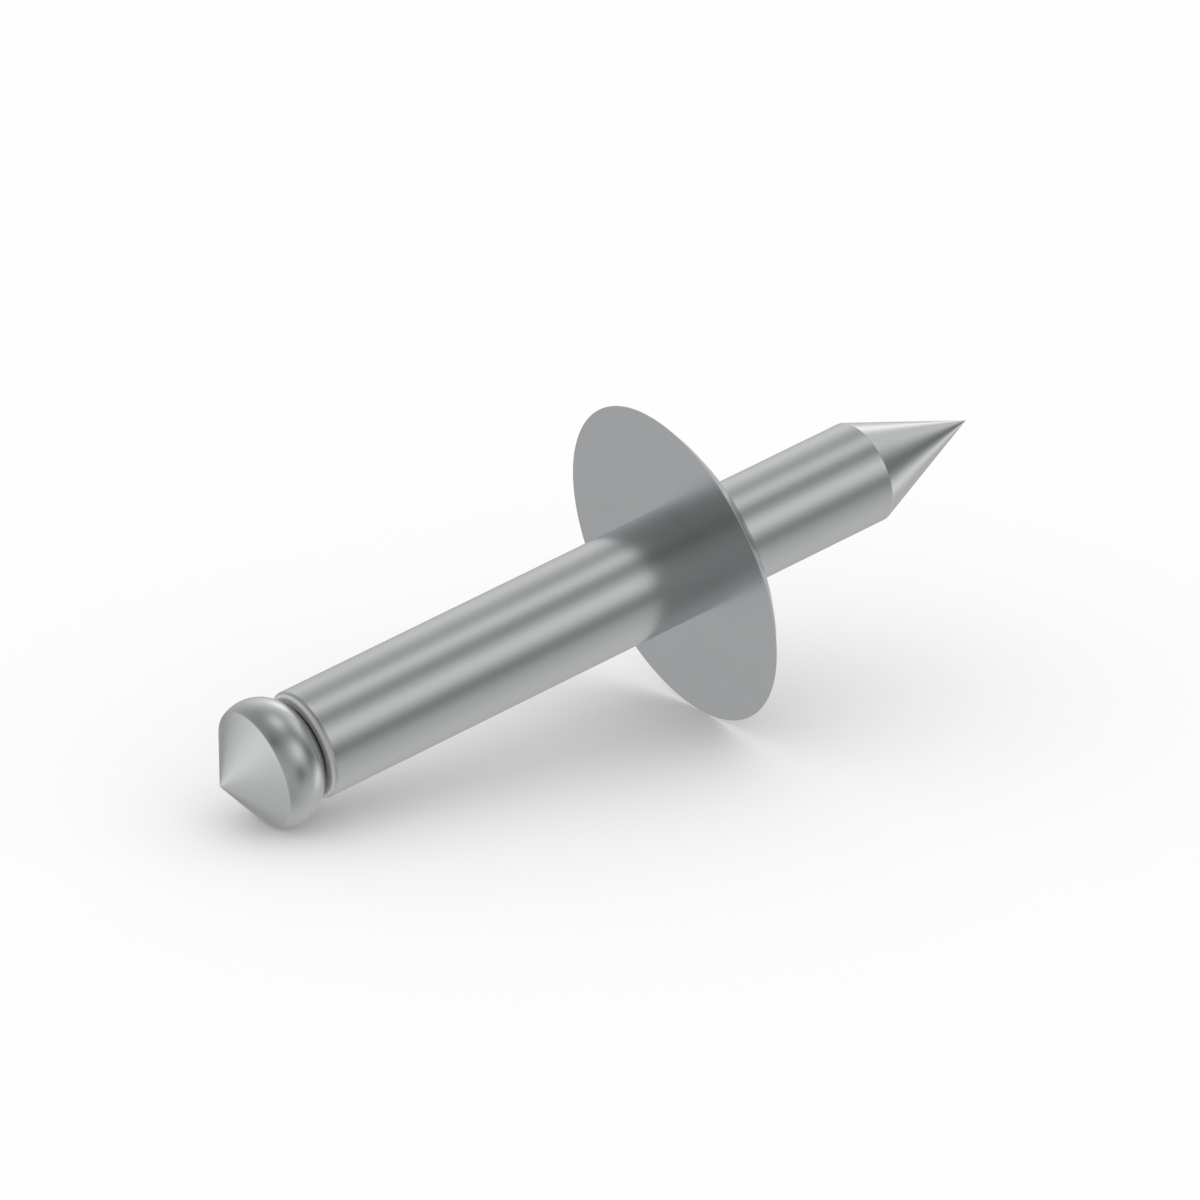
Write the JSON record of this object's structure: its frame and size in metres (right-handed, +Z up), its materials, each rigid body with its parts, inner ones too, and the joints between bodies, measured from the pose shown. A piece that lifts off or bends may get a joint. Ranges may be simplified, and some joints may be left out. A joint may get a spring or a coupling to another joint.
{
  "type": "pop rivet",
  "caption": "Pop rivet with a wide domed flange on a long hollow shank, and a one-piece mandrel with a bulbed, coned head and a thick tail that ends in a sharp point.",
  "frame": {"origin": "on the table that the rivet lies on, midway along X between the tip of the mandrel's head and the mandrel's point", "axes": "+Z up; the rivet's axis lies in the XZ plane and rises towards +X by the 11.9 degrees at which it rests on the flange's rim and the mandrel's head; +X towards the point"},
  "size_m": [0.0316, 0.012, 0.0117],
  "materials": {
    "rivet_body": "satin",
    "mandrel": "satin"
  },
  "bodies": {
    "root": {"rivet_body": "rivet_body", "mandrel": "mandrel"}
  },
  "joints": []
}
